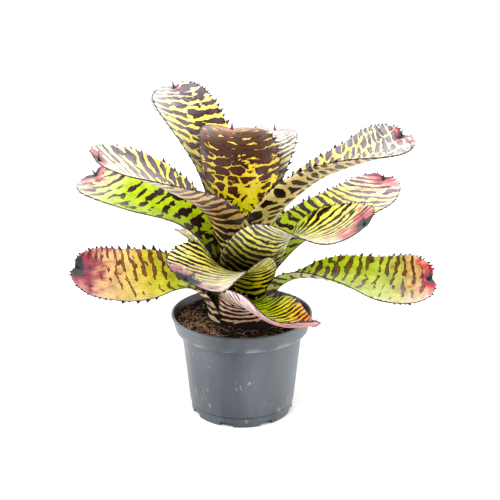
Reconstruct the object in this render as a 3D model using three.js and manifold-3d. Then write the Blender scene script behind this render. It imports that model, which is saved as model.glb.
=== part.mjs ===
// Potted dragon neoregelia: a tank bromeliad with banded, toothed leaves in a 12 cm nursery pot.
// Millimetres, +Z up, the pot's foot on z = 0. The -Y side is the side seen in the photo.
import * as THREE from "three";
import { mergeVertices } from "three/addons/utils/BufferGeometryUtils.js";
import Module from "manifold-3d";

const wasm = await Module();
wasm.setup();
const { Manifold, Mesh: SolidMesh } = wasm;

// Pot
const POT_HEIGHT = 87;
const POT_RIM_RADIUS = 60;
const POT_WALL = 1.4;
const COLLAR_BOTTOM = 73.2; // height at which the wide collar begins
const COLLAR_RADIUS = 56.6; // collar's outer radius at its lower edge
const BODY_TOP_RADIUS = 51.6; // body's outer radius under the collar
const BODY_FOOT_RADIUS = 45.2; // body's outer radius above the foot groove
const FOOT_TOP = 9; // height of the groove over the foot
const FOOT_RADIUS = 44;
const FLOOR_UNDER = 2.4; // underside of the floor, inside the foot ring
const FOOT_PAD = 16; // radius of the flat pad in the middle of the underside
const FLOOR_TOP = 4;
const FOOT_RING_WIDTH = 2.4;
const FOOT_NOTCHES = 8;
const NOTCH_FIRST = -62; // degrees, direction of the first notch
const NOTCH_WIDTH = 11.5;
const NOTCH_HEIGHT = 3.2;
const NOTCH_LENGTH = 14; // along the radius, so that a notch cuts right through the foot ring
const DRAIN_RADIUS = 3.6;
const DRAIN_CIRCLE = 30;
const POT_FACETS = 56;

// Soil and stem
const FIT = 0.3; // space left between pieces that touch
const SOIL_EDGE = 80.6; // soil height at the pot wall
const SOIL_MIDDLE = 82.4; // soil height beside the stem
const SOIL_BUMPS = 1.1;
const SOIL_FACETS = 42;
const FURROW = 0.6; // how far the stem's wide part reaches past the outermost leaf
const CROWN_RADIUS = 31; // widest part of the stem, where the outermost leaf stands
const CROWN_BASE = 83; // height of the cone's foot
const CROWN_SLOPE = 0.85; // the cone rises this much per millimetre inwards
const FOOT_FIT = 0.4; // height of a leaf's foot over the cone, which leaves FIT square to the slope
const CROWN_SEAT = 75.6; // underside of the wide part
const STOCK_RADIUS = 13;
const STOCK_TAPER = 4; // the stock is this much thinner at its lower end
const STOCK_END = 42;

// Leaves
const FIRST_RING = 10; // radius on which the innermost blade stands
const RING_STEP = 1.4; // each further leaf stands this much further out
const LEAF_THICKNESS = 1.0;
const MARGIN_THICKNESS = 0.64;
const CLASP = 1.22; // half-width of a clasping foot over its distance from the axis
const OPENS = [0, 0.2]; // shares of the length between which a clasping foot may open out
const CLASPS_TO = 0.6; // share of the length past which no blade clasps the tank
const FREED_AT = 1.5; // a blade is wholly free once the tank could hold this many times its width
const OUTLINE = [0.82, 0.8, 0.84, 0.95, 1.0, 0.98]; // half-width at even steps, full width = 1
const OUTLINE_END = 0.9; // share of the length that the outline's steps cover
const ROUND_FROM = 0.8; // share of the length at which the tip starts to round
const ROUND_POWER = 2.2; // 2 would round the tip as an ellipse
const PLAIN_FOOT = 34; // length of the toothless foot on a leaf of usual length
const USUAL_LENGTH = 120; // a shorter leaf has a shorter plain foot
const TOOTH_BASE = 3;
const TOOTH_GAP = 6.6;
const TOOTH_LENGTH = 3.6;
const TOOTH_SPREAD = 0.22; // share by which teeth differ in length
const TOOTH_LEAN = 0.36; // how far a tooth leans towards the leaf's tip, per millimetre of length
const FOOT_TOOTH = 0.75; // teeth near the foot are this share of full length
const FOOT_TEETH_END = 0.3;
const THORN_LENGTH = 7;
const THORN_LIFT = 0.5;
const STRIPS = 4; // facets across a blade
const FOOT_STATION = 0.09; // share of the length at which the plain foot has a row of points
const LAST_TOOTH = 0.996; // share of the length past which no tooth starts
const STEP_ALONG = 1.5; // millimetres between the points of a blade's middle line

// Each blade: name, ring it stands on, azimuth of its foot, length, full width; then, at the foot, a quarter,
// half, three quarters and the tip: climb over level, turn from the azimuth, roll, half-angle of the channel.
const LEAVES = [
  { name: "leaf_heart", ring: -4, azimuth: -60, length: 50, width: 15,
    climb: [90, 90, 89, 88, 86], turn: [0, 0, 0, 0, 0],
    roll: [0, 0, 0, 0, 0], cup: [70, 110, 120, 110, 90] },
  { name: "leaf_01", ring: 0, azimuth: 94, length: 156, width: 71, clasp: 1.7,
    opens: [0.3, 0.62], round: 0.72, outline: [0.8, 0.8, 0.82, 0.93, 1, 0.99],
    climb: [90, 83, 76, 57, -6], turn: [0, 0, 0, 10, 0],
    roll: [0, 0, 0, 5, 5], cup: [70, 55, 28, 24, 18] },
  { name: "leaf_02", ring: 1, azimuth: -36, length: 202, width: 68, clasp: 1.0,
    climb: [90, 70, 42, 26, 33], turn: [0, 12, 30, 35, 60],
    roll: [0, -10, -10, 0, 20], cup: [70, 75, 68, 38, 15] },
  { name: "leaf_03", ring: 2, azimuth: 237, length: 196, width: 62, clasp: 1.08,
    climb: [90, 71, 38, 30, 24], turn: [0, -5, -15, -42, -20],
    roll: [0, 0, -5, -8, -20], cup: [70, 78, 66, 38, 12] },
  { name: "leaf_04", ring: 2.9, azimuth: 69, length: 180, width: 39, clasp: 1.0,
    climb: [90, 72, 62, 28, -8], turn: [0, -8, -10, 11, 26],
    roll: [0, 5, 10, 10, 5], cup: [70, 58, 45, 35, 18] },
  { name: "leaf_05", ring: 4.2, azimuth: 113, length: 217, width: 56, clasp: 0.95, round: 0.76,
    climb: [90, 65, 60, 38, 18], turn: [0, -5, 22, 10, -12],
    roll: [0, 8, -5, -8, -14], cup: [70, 64, 46, 35, 26] },
  { name: "leaf_06", ring: 5, azimuth: -79, length: 173, width: 68,
    climb: [90, 48, 37, 11, 36], turn: [0, 10, 38, 48, 35],
    roll: [0, -15, -14, 8, 22], cup: [70, 58, 60, 34, 12] },
  { name: "leaf_07", ring: 6, azimuth: 37, length: 192, width: 55, clasp: 1.0,
    climb: [90, 33, 12, 14, 38], turn: [0, 4, -4, 5, 18],
    roll: [0, 10, 14, 14, 8], cup: [70, 58, 44, 26, 12] },
  { name: "leaf_08", ring: 7, azimuth: 153, length: 183, width: 60, clasp: 1.0,
    climb: [90, 61, 21, 18, 12], turn: [0, 5, 12, -4, -26],
    roll: [0, 0, -15, -23, -28], cup: [70, 63, 50, 38, 25] },
  { name: "leaf_09", ring: 8, azimuth: -77, length: 119, width: 65, clasp: 1.0,
    climb: [90, 57, 21, 2, 22], turn: [0, -20, -45, -66, -34],
    roll: [0, 4, 8, -18, -22], cup: [70, 60, 55, 48, 12] },
  { name: "leaf_10", ring: 9, azimuth: 66, length: 150, width: 54, clasp: 1.0,
    climb: [90, 31, 8, 2, -4], turn: [0, 0, 0, 0, 0],
    roll: [0, 0, 0, 0, 0], cup: [70, 60, 45, 30, 20] },
  { name: "leaf_11", ring: 10, azimuth: -11, length: 155, width: 57, clasp: 0.56,
    climb: [90, 23, -4, 5, 16], turn: [0, -10, 3, -2, 3],
    roll: [0, -12, 8, 21, 36], cup: [70, 56, 42, 16, 10] },
  { name: "leaf_12", ring: 11, azimuth: 110, length: 128, width: 54, clasp: 0.7,
    climb: [90, 29, 6, 0, -6], turn: [0, 0, 0, 0, 0],
    roll: [0, 0, 0, 0, 0], cup: [70, 60, 45, 30, 20] },
  { name: "leaf_13", ring: 12, azimuth: -92, length: 111, width: 50, clasp: 1.08,
    climb: [90, 26, -6, -7, 1], turn: [0, 3, 46, 78, 102],
    roll: [0, -10, -20, 6, -20], cup: [70, 65, 70, 55, 48] },
  { name: "leaf_14", ring: 13, azimuth: 188, length: 132, width: 52, clasp: 0.8,
    climb: [90, 32, 2, 13, 30], turn: [0, 2, 5, 1, 0],
    roll: [0, -14, -44, -36, -30], cup: [70, 60, 38, 20, 12] },
  { name: "leaf_15", ring: 14, azimuth: 86, length: 125, width: 50, clasp: 1.0,
    climb: [90, 15, -2, -8, -12], turn: [0, 0, 0, 0, 0],
    roll: [0, 0, 0, 0, 0], cup: [70, 60, 45, 30, 20] },
];

const rad = THREE.MathUtils.degToRad;

// Smooth curve through evenly spaced knots, t from 0 to 1.
function along(knots, t) {
  const last = knots.length - 1;
  const x = Math.min(Math.max(t, 0), 1) * last;
  const i = Math.min(Math.floor(x), last - 1);
  const f = x - i;
  const a = knots[i];
  const b = knots[i + 1];
  const before = i > 0 ? knots[i - 1] : 2 * a - b;
  const after = i + 2 <= last ? knots[i + 2] : 2 * b - a;
  const slopeA = (b - before) / 2;
  const slopeB = (after - a) / 2;
  const f2 = f * f;
  const f3 = f2 * f;
  return (2 * f3 - 3 * f2 + 1) * a + (f3 - 2 * f2 + f) * slopeA + (3 * f2 - 2 * f3) * b + (f3 - f2) * slopeB;
}

// A fixed scatter value between -1 and 1 for a pair of whole numbers.
function scatter(a, b) {
  const s = Math.sin(a * 12.9898 + b * 78.233) * 43758.5453;
  return 2 * (s - Math.floor(s)) - 1;
}

function ringRadius(leaf) {
  return FIRST_RING + RING_STEP * leaf.ring;
}

// Half the free blade's width, measured round its channel.
function freeHalf(leaf, t) {
  let share = along(leaf.outline ?? OUTLINE, Math.min(t / OUTLINE_END, 1));
  const roundFrom = leaf.round ?? ROUND_FROM;
  if (t > roundFrom) {
    const x = (t - roundFrom) / (1 - roundFrom);
    share *= Math.sqrt(Math.max(0, 1 - x ** ROUND_POWER));
  }
  return (leaf.width / 2) * share;
}

// Half-width and channel radius. The foot clasps the tank, so it is curved about the tank's axis and
// widens with its distance from it; further out the blade is free and its own channel takes over.
function sectionAt(leaf, t, distance) {
  const free = freeHalf(leaf, t);
  const clasp = leaf.clasp ?? CLASP;
  const clasping = clasp * distance;
  const freeRadius = leaf.width / 2 / rad(along(leaf.cup, t));
  const [opensFrom, opensBy] = leaf.opens ?? OPENS;
  const freed = THREE.MathUtils.smoothstep(clasping / free, 1, FREED_AT)
    * THREE.MathUtils.smoothstep(t, opensFrom, opensBy);
  const half = t < CLASPS_TO ? Math.min(free, clasping) : free;
  const claspingRadius = Math.min(distance, Math.max(free / clasp, ringRadius(leaf)));
  return { half, radius: THREE.MathUtils.lerp(claspingRadius, freeRadius, freed) };
}

// Stations along a blade: plain foot first, then gap, tooth, gap, tooth round to the tip.
function stationsOf(leaf) {
  const stations = [{ t: 0 }, { t: FOOT_STATION }];
  const fine = 1 / 1500;
  let rim = 0;
  let wanted = PLAIN_FOOT * Math.min(1, leaf.length / USUAL_LENGTH);
  let toothNext = false;
  for (let t = 0; t < LAST_TOOTH; t += fine) {
    const spread = freeHalf(leaf, t + fine) - freeHalf(leaf, t);
    rim += Math.hypot(leaf.length * fine, spread);
    if (rim < wanted) continue;
    rim = 0;
    stations.push({ t, tooth: toothNext });
    toothNext = !toothNext;
    wanted = toothNext ? TOOTH_BASE : TOOTH_GAP;
  }
  stations.push({ t: 0.9995, tooth: false });
  return stations; // a station's tooth stands between it and the station before it
}

// The blade's frames: middle point, heading, side and upper direction at each station.
function framesOf(leaf, stations) {
  const r = ringRadius(leaf);
  const inmost = (r - LEAF_THICKNESS / 2) * Math.cos((leaf.clasp ?? CLASP) / STRIPS);
  const foot = CROWN_BASE + (CROWN_RADIUS - inmost) * CROWN_SLOPE + FOOT_FIT;
  const point = new THREE.Vector3(r * Math.cos(rad(leaf.azimuth)), r * Math.sin(rad(leaf.azimuth)), foot);
  const heading = (t) => {
    const climb = rad(along(leaf.climb, t));
    const turn = rad(leaf.azimuth + along(leaf.turn, t));
    return {
      turn,
      ahead: new THREE.Vector3(
        Math.cos(climb) * Math.cos(turn), Math.cos(climb) * Math.sin(turn), Math.sin(climb)),
    };
  };
  let done = 0;
  return stations.map(({ t }) => {
    const steps = Math.max(1, Math.ceil(((t - done) * leaf.length) / STEP_ALONG));
    const step = (t - done) / steps;
    for (let i = 0; i < steps; i += 1) {
      point.addScaledVector(heading(done + (i + 0.5) * step).ahead, leaf.length * step);
    }
    done = t;
    const { turn, ahead } = heading(t);
    const level = new THREE.Vector3(-Math.sin(turn), Math.cos(turn), 0);
    const raised = new THREE.Vector3().crossVectors(ahead, level);
    const roll = rad(along(leaf.roll, t));
    const side = level.clone().multiplyScalar(Math.cos(roll)).addScaledVector(raised, Math.sin(roll));
    const upper = raised.clone().multiplyScalar(Math.cos(roll)).addScaledVector(level, -Math.sin(roll));
    return { t, middle: point.clone(), ahead, side, upper };
  });
}

// One closed leaf: an upper and a lower skin split alike, teeth along both margins, a thorn at the tip.
function leafGeometry(leaf, number) {
  const stations = stationsOf(leaf);
  const frames = framesOf(leaf, stations);
  const places = [];
  const faces = [];
  const put = (v) => places.push(v.x, v.y, v.z) / 3 - 1;
  const tri = (a, b, c) => faces.push(a, b, c);

  const rows = frames.map(({ t, middle, side, upper }) => {
    const { half, radius } = sectionAt(leaf, t, Math.hypot(middle.x, middle.y));
    const row = { upperSkin: [], lowerSkin: [], outward: [] };
    for (let j = 0; j <= STRIPS; j += 1) {
      const u = -1 + (2 * j) / STRIPS;
      const a = (u * half) / radius;
      const on = middle.clone()
        .addScaledVector(side, radius * Math.sin(a))
        .addScaledVector(upper, radius * (1 - Math.cos(a)));
      const across = side.clone().multiplyScalar(Math.cos(a)).addScaledVector(upper, Math.sin(a));
      const normal = upper.clone().multiplyScalar(Math.cos(a)).addScaledVector(side, -Math.sin(a));
      const thick = LEAF_THICKNESS + (MARGIN_THICKNESS - LEAF_THICKNESS) * u * u;
      row.upperSkin.push(put(on.clone().addScaledVector(normal, thick / 2)));
      row.lowerSkin.push(put(on.clone().addScaledVector(normal, -thick / 2)));
      row.outward.push(across.multiplyScalar(Math.sign(u)));
    }
    return row;
  });

  const at = (i) => new THREE.Vector3(places[3 * i], places[3 * i + 1], places[3 * i + 2]);
  for (let i = 0; i + 1 < rows.length; i += 1) {
    const a = rows[i];
    const b = rows[i + 1];
    for (let j = 0; j < STRIPS; j += 1) {
      tri(a.upperSkin[j], b.upperSkin[j], a.upperSkin[j + 1]);
      tri(a.upperSkin[j + 1], b.upperSkin[j], b.upperSkin[j + 1]);
      tri(a.lowerSkin[j], a.lowerSkin[j + 1], b.lowerSkin[j]);
      tri(a.lowerSkin[j + 1], b.lowerSkin[j + 1], b.lowerSkin[j]);
    }
    for (const j of [0, STRIPS]) {
      const ring = [a.upperSkin[j], b.upperSkin[j], b.lowerSkin[j], a.lowerSkin[j]];
      if (j === STRIPS) ring.reverse();
      if (!stations[i + 1].tooth) {
        tri(ring[0], ring[3], ring[1]);
        tri(ring[1], ring[3], ring[2]);
        continue;
      }
      // The tooth leans towards the leaf's tip.
      const size = frames[i].t < FOOT_TEETH_END ? FOOT_TOOTH : 1;
      const reach = TOOTH_LENGTH * size * (1 + TOOTH_SPREAD * scatter(i, number + j));
      const tip = at(ring[0]).add(at(ring[1])).add(at(ring[2])).add(at(ring[3])).multiplyScalar(0.25)
        .addScaledVector(b.outward[j], reach)
        .addScaledVector(frames[i].ahead, reach * TOOTH_LEAN);
      const apex = put(tip);
      for (let k = 0; k < 4; k += 1) tri(ring[k], apex, ring[(k + 1) % 4]);
    }
  }

  const foot = rows[0];
  const end = rows[rows.length - 1];
  const last = frames[frames.length - 1];
  const thorn = put(at(end.upperSkin[STRIPS / 2])
    .addScaledVector(last.ahead, THORN_LENGTH * Math.min(1, leaf.length / USUAL_LENGTH))
    .addScaledVector(last.upper, THORN_LENGTH * THORN_LIFT));
  for (let j = 0; j < STRIPS; j += 1) {
    tri(foot.upperSkin[j], foot.upperSkin[j + 1], foot.lowerSkin[j]);
    tri(foot.lowerSkin[j], foot.upperSkin[j + 1], foot.lowerSkin[j + 1]);
    tri(end.upperSkin[j], thorn, end.upperSkin[j + 1]);
    tri(end.lowerSkin[j], end.lowerSkin[j + 1], thorn);
  }
  tri(end.upperSkin[STRIPS], thorn, end.lowerSkin[STRIPS]);
  tri(end.lowerSkin[0], thorn, end.upperSkin[0]);
  return closed(places, faces);
}

function closed(places, faces) {
  const geometry = new THREE.BufferGeometry();
  geometry.setAttribute("position", new THREE.Float32BufferAttribute(places, 3));
  geometry.setIndex(faces);
  geometry.computeVertexNormals();
  return geometry;
}

// A turned body from a profile of [radius, height] that starts and ends on the axis, running from the middle
// of its underside outwards and up to the middle of its top. A lathe turns about Y, so it is stood up.
function turned(profile, facets) {
  const points = profile.map(([r, z]) => new THREE.Vector2(r, z));
  const geometry = new THREE.LatheGeometry(points, facets);
  geometry.rotateX(Math.PI / 2);
  return merged(geometry);
}

function merged(geometry) {
  geometry.deleteAttribute("normal");
  geometry.deleteAttribute("uv");
  return mergeVertices(geometry, 1e-4);
}

function asSolid(geometry) {
  const plain = merged(geometry);
  return new Manifold(new SolidMesh({
    numProp: 3,
    vertProperties: plain.getAttribute("position").array,
    triVerts: new Uint32Array(plain.index.array),
  }));
}

function asGeometry(solid) {
  const mesh = solid.getMesh();
  return closed(Array.from(mesh.vertProperties), Array.from(mesh.triVerts));
}

// Inner radius of the pot's body at a height.
function bodyInner(z) {
  const share = (z - FOOT_TOP) / (COLLAR_BOTTOM - FOOT_TOP);
  return BODY_FOOT_RADIUS + (BODY_TOP_RADIUS - BODY_FOOT_RADIUS) * share - POT_WALL;
}

function potGeometry() {
  const shell = turned([
    [0, 0],
    [FOOT_PAD, 0],
    [FOOT_PAD + 1, FLOOR_UNDER],
    [FOOT_RADIUS - FOOT_RING_WIDTH, FLOOR_UNDER],
    [FOOT_RADIUS - FOOT_RING_WIDTH + 0.2, 0],
    [FOOT_RADIUS - 0.3, 0],
    [FOOT_RADIUS, 0.6],
    [FOOT_RADIUS + 0.5, FOOT_TOP - 0.8],
    [BODY_FOOT_RADIUS, FOOT_TOP],
    [BODY_TOP_RADIUS, COLLAR_BOTTOM - 0.3],
    [COLLAR_RADIUS - 0.5, COLLAR_BOTTOM - 0.2],
    [COLLAR_RADIUS, COLLAR_BOTTOM + 0.5],
    [POT_RIM_RADIUS - 0.8, POT_HEIGHT - 2],
    [POT_RIM_RADIUS, POT_HEIGHT - 1.2],
    [POT_RIM_RADIUS - 0.3, POT_HEIGHT],
    [POT_RIM_RADIUS - 2.1, POT_HEIGHT],
    [COLLAR_RADIUS - POT_WALL, COLLAR_BOTTOM + POT_WALL + 0.4],
    [bodyInner(COLLAR_BOTTOM) - 0.2, COLLAR_BOTTOM + 0.4],
    [bodyInner(FLOOR_TOP), FLOOR_TOP],
    [0, FLOOR_TOP],
  ], POT_FACETS);
  let solid = asSolid(shell);
  for (let i = 0; i < FOOT_NOTCHES; i += 1) {
    const direction = NOTCH_FIRST + (i * 360) / FOOT_NOTCHES;
    const notch = new THREE.BoxGeometry(NOTCH_LENGTH, NOTCH_WIDTH, 2 * NOTCH_HEIGHT)
      .translate(FOOT_RADIUS + 2, 0, 0).rotateZ(rad(direction));
    const drain = new THREE.CylinderGeometry(DRAIN_RADIUS, DRAIN_RADIUS, 8, 16)
      .rotateX(Math.PI / 2).translate(DRAIN_CIRCLE, 0, FLOOR_TOP - 1).rotateZ(rad(direction));
    solid = solid.subtract(asSolid(notch)).subtract(asSolid(drain));
  }
  return asGeometry(solid);
}

function soilGeometry() {
  const wallAt = (z) => bodyInner(z) - FIT;
  const hole = CROWN_RADIUS + FURROW + FIT;
  const collarInner = COLLAR_RADIUS - POT_WALL - FIT;
  const profile = [
    [0, FLOOR_TOP + FIT],
    [wallAt(FLOOR_TOP) - 0.2, FLOOR_TOP + FIT],
    [wallAt(COLLAR_BOTTOM) - 0.3, COLLAR_BOTTOM + 0.4],
    [wallAt(COLLAR_BOTTOM) - 0.3, COLLAR_BOTTOM + 0.8],
    [collarInner - 0.3, COLLAR_BOTTOM + POT_WALL + 0.9],
    [collarInner + 0.9, SOIL_EDGE],
    [51, SOIL_EDGE + 0.5],
    [44.5, SOIL_EDGE + 0.9],
    [38, SOIL_MIDDLE - 0.4],
    [hole, SOIL_MIDDLE],
    [hole, CROWN_SEAT - FIT],
    [STOCK_RADIUS + FIT, CROWN_SEAT - FIT],
    [STOCK_RADIUS - STOCK_TAPER + FIT, STOCK_END - FIT],
    [0, STOCK_END - FIT],
  ];
  const soil = turned(profile, SOIL_FACETS);
  const place = soil.getAttribute("position");
  for (let i = 0; i < place.count; i += 1) {
    const r = Math.hypot(place.getX(i), place.getY(i));
    const open = r > hole + 2 && r < collarInner && place.getZ(i) > SOIL_EDGE;
    if (open) place.setZ(i, place.getZ(i) + SOIL_BUMPS * scatter(i, 1));
  }
  return soil;
}

function stemGeometry() {
  return turned([
    [0, STOCK_END],
    [STOCK_RADIUS - STOCK_TAPER, STOCK_END],
    [STOCK_RADIUS, CROWN_SEAT],
    [CROWN_RADIUS + FURROW, CROWN_SEAT],
    [CROWN_RADIUS + FURROW, CROWN_BASE - 0.5],
    [2, CROWN_BASE + (CROWN_RADIUS - 2) * CROWN_SLOPE],
    [0, CROWN_BASE + (CROWN_RADIUS - 2) * CROWN_SLOPE + 0.2],
  ], SOIL_FACETS);
}

const potPlastic = new THREE.MeshStandardMaterial({ name: "pot_plastic", color: "#5d626b", roughness: 0.55 });
const compost = new THREE.MeshStandardMaterial({ name: "compost", color: "#2a1d15", roughness: 1 });
const stemTissue = new THREE.MeshStandardMaterial({ name: "stem_tissue", color: "#8a7a4a", roughness: 0.8 });
const leafBlade = new THREE.MeshStandardMaterial({ name: "leaf_blade", color: "#9aa83a", roughness: 0.45 });

function piece(name, geometry, material) {
  const mesh = new THREE.Mesh(geometry, material);
  mesh.name = name;
  return mesh;
}

const plant = new THREE.Group();
plant.name = "potted_dragon_neoregelia";
plant.add(piece("pot", potGeometry(), potPlastic));
plant.add(piece("soil", soilGeometry(), compost));
plant.add(piece("stem", stemGeometry(), stemTissue));
LEAVES.forEach((leaf, number) => {
  plant.add(piece(leaf.name, leafGeometry(leaf, number), leafBlade));
});

export default plant;
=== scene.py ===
"""Potted dragon neoregelia: a tank bromeliad with banded, spine-edged leaves in a 12 cm nursery pot."""
import math

import bpy
import numpy as np
from bpy.props import FloatProperty, FloatVectorProperty, IntProperty, PointerProperty
from bpy.types import Operator, Panel, PropertyGroup
from mathutils import Matrix, Vector, noise


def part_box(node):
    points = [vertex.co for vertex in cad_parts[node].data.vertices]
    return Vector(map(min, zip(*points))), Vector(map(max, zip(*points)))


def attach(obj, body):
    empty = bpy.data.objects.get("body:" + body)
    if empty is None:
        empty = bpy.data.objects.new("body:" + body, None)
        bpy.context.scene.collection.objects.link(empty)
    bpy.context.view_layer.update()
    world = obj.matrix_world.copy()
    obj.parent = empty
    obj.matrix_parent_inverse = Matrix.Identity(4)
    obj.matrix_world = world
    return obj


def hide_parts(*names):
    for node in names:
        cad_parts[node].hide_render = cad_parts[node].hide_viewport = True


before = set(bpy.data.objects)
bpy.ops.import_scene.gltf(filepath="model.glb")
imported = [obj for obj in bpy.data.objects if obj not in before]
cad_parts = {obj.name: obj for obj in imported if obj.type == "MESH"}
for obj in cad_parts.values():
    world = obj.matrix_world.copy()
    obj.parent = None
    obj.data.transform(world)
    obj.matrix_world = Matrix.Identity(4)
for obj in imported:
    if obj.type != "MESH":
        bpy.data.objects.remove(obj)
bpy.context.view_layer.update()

bl_info = {
    "name": "Potted dragon neoregelia",
    "version": (1, 0, 0),
    "blender": (4, 5, 0),
    "location": "View3D > Sidebar > Neoregelia",
    "description": "Builds a banded tank bromeliad in its nursery pot",
    "category": "Add Mesh",
}

MM = 0.001

# Leaf form, in millimetres and degrees, as in the part's own source.
FIRST_RING = 10.0
RING_STEP = 1.4
CROWN_RADIUS = 31.0
CROWN_BASE = 83.0
CROWN_SLOPE = 0.85
FOOT_FIT = 0.4
CLASP = 1.22
OPENS = (0.0, 0.2)
CLASPS_TO = 0.6
FREED_AT = 1.5
FACETS_ACROSS = 4
OUTLINE = (0.82, 0.8, 0.84, 0.95, 1.0, 0.98)
OUTLINE_END = 0.9
ROUND_FROM = 0.8
ROUND_POWER = 2.2
PLAIN_FOOT = 34.0
USUAL_LENGTH = 120.0
BAND_UNIT = 6.6
BURIED_TO = 79.5  # height to which a sheath goes on down, in the potting mix

# Pot and potting mix, in millimetres, as in the part's own source.
POT_WALL = 1.4
COLLAR_BOTTOM = 73.2
COLLAR_RADIUS = 56.6
BODY_TOP_RADIUS = 51.6
BODY_FOOT_RADIUS = 45.2
FOOT_TOP = 9.0
FOOT_RADIUS = 44.0
FOOT_RING_WIDTH = 2.4
FLOOR_UNDER = 2.4
FLOOR_TOP = 4.0
FOOT_PAD = 16.0
FOOT_NOTCHES = 8
NOTCH_FIRST = -62.0
NOTCH_WIDTH = 11.5
NOTCH_HEIGHT = 3.2
DRAIN_RADIUS = 3.6
DRAIN_CIRCLE = 30.0
GROOVE = 0.8  # height of the dark groove over the foot
SOIL_EDGE = 80.6
SOIL_MIDDLE = 82.4
SOIL_HOLE = 31.9
SOIL_FLOOR = 42.0

# Each leaf: ring it stands on, azimuth of its foot, length, full width; then at the foot, a quarter, half,
# three quarters and the tip: climb over level, turn from the azimuth, roll, half-angle of the channel.
LEAVES = {
    "leaf_heart": dict(ring=-4, azimuth=-60, length=50, width=15,
                       climb=(90, 90, 89, 88, 86), turn=(0, 0, 0, 0, 0),
                       roll=(0, 0, 0, 0, 0), cup=(70, 110, 120, 110, 90)),
    "leaf_01": dict(ring=0, azimuth=94, length=156, width=71, clasp=1.7, opens=(0.3, 0.62), round=0.72,
                    outline=(0.8, 0.8, 0.82, 0.93, 1, 0.99),
                    climb=(90, 83, 76, 57, -6), turn=(0, 0, 0, 10, 0),
                    roll=(0, 0, 0, 5, 5), cup=(70, 55, 28, 24, 18)),
    "leaf_02": dict(ring=1, azimuth=-36, length=202, width=68, clasp=1.0,
                    climb=(90, 70, 42, 26, 33), turn=(0, 12, 30, 35, 60),
                    roll=(0, -10, -10, 0, 20), cup=(70, 75, 68, 38, 15)),
    "leaf_03": dict(ring=2, azimuth=237, length=196, width=62, clasp=1.08,
                    climb=(90, 71, 38, 30, 24), turn=(0, -5, -15, -42, -20),
                    roll=(0, 0, -5, -8, -20), cup=(70, 78, 66, 38, 12)),
    "leaf_04": dict(ring=2.9, azimuth=69, length=180, width=39, clasp=1.0,
                    climb=(90, 72, 62, 28, -8), turn=(0, -8, -10, 11, 26),
                    roll=(0, 5, 10, 10, 5), cup=(70, 58, 45, 35, 18)),
    "leaf_05": dict(ring=4.2, azimuth=113, length=217, width=56, clasp=0.95, round=0.76,
                    climb=(90, 65, 60, 38, 18), turn=(0, -5, 22, 10, -12),
                    roll=(0, 8, -5, -8, -14), cup=(70, 64, 46, 35, 26)),
    "leaf_06": dict(ring=5, azimuth=-79, length=173, width=68,
                    climb=(90, 48, 37, 11, 36), turn=(0, 10, 38, 48, 35),
                    roll=(0, -15, -14, 8, 22), cup=(70, 58, 60, 34, 12)),
    "leaf_07": dict(ring=6, azimuth=37, length=192, width=55, clasp=1.0,
                    climb=(90, 33, 12, 14, 38), turn=(0, 4, -4, 5, 18),
                    roll=(0, 10, 14, 14, 8), cup=(70, 58, 44, 26, 12)),
    "leaf_08": dict(ring=7, azimuth=153, length=183, width=60, clasp=1.0,
                    climb=(90, 61, 21, 18, 12), turn=(0, 5, 12, -4, -26),
                    roll=(0, 0, -15, -23, -28), cup=(70, 63, 50, 38, 25)),
    "leaf_09": dict(ring=8, azimuth=-77, length=119, width=65, clasp=1.0,
                    climb=(90, 57, 21, 2, 22), turn=(0, -20, -45, -66, -34),
                    roll=(0, 4, 8, -18, -22), cup=(70, 60, 55, 48, 12)),
    "leaf_10": dict(ring=9, azimuth=66, length=150, width=54, clasp=1.0,
                    climb=(90, 31, 8, 2, -4), turn=(0, 0, 0, 0, 0),
                    roll=(0, 0, 0, 0, 0), cup=(70, 60, 45, 30, 20)),
    "leaf_11": dict(ring=10, azimuth=-11, length=155, width=57, clasp=0.56,
                    climb=(90, 23, -4, 5, 16), turn=(0, -10, 3, -2, 3),
                    roll=(0, -12, 8, 21, 36), cup=(70, 56, 42, 16, 10)),
    "leaf_12": dict(ring=11, azimuth=110, length=128, width=54, clasp=0.7,
                    climb=(90, 29, 6, 0, -6), turn=(0, 0, 0, 0, 0),
                    roll=(0, 0, 0, 0, 0), cup=(70, 60, 45, 30, 20)),
    "leaf_13": dict(ring=12, azimuth=-92, length=111, width=50, clasp=1.08,
                    climb=(90, 26, -6, -7, 1), turn=(0, 3, 46, 78, 102),
                    roll=(0, -10, -20, 6, -20), cup=(70, 65, 70, 55, 48)),
    "leaf_14": dict(ring=13, azimuth=188, length=132, width=52, clasp=0.8,
                    climb=(90, 32, 2, 13, 30), turn=(0, 2, 5, 1, 0),
                    roll=(0, -14, -44, -36, -30), cup=(70, 60, 38, 20, 12)),
    "leaf_15": dict(ring=14, azimuth=86, length=125, width=50, clasp=1.0,
                    climb=(90, 15, -2, -8, -12), turn=(0, 0, 0, 0, 0),
                    roll=(0, 0, 0, 0, 0), cup=(70, 60, 45, 30, 20)),
}

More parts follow.
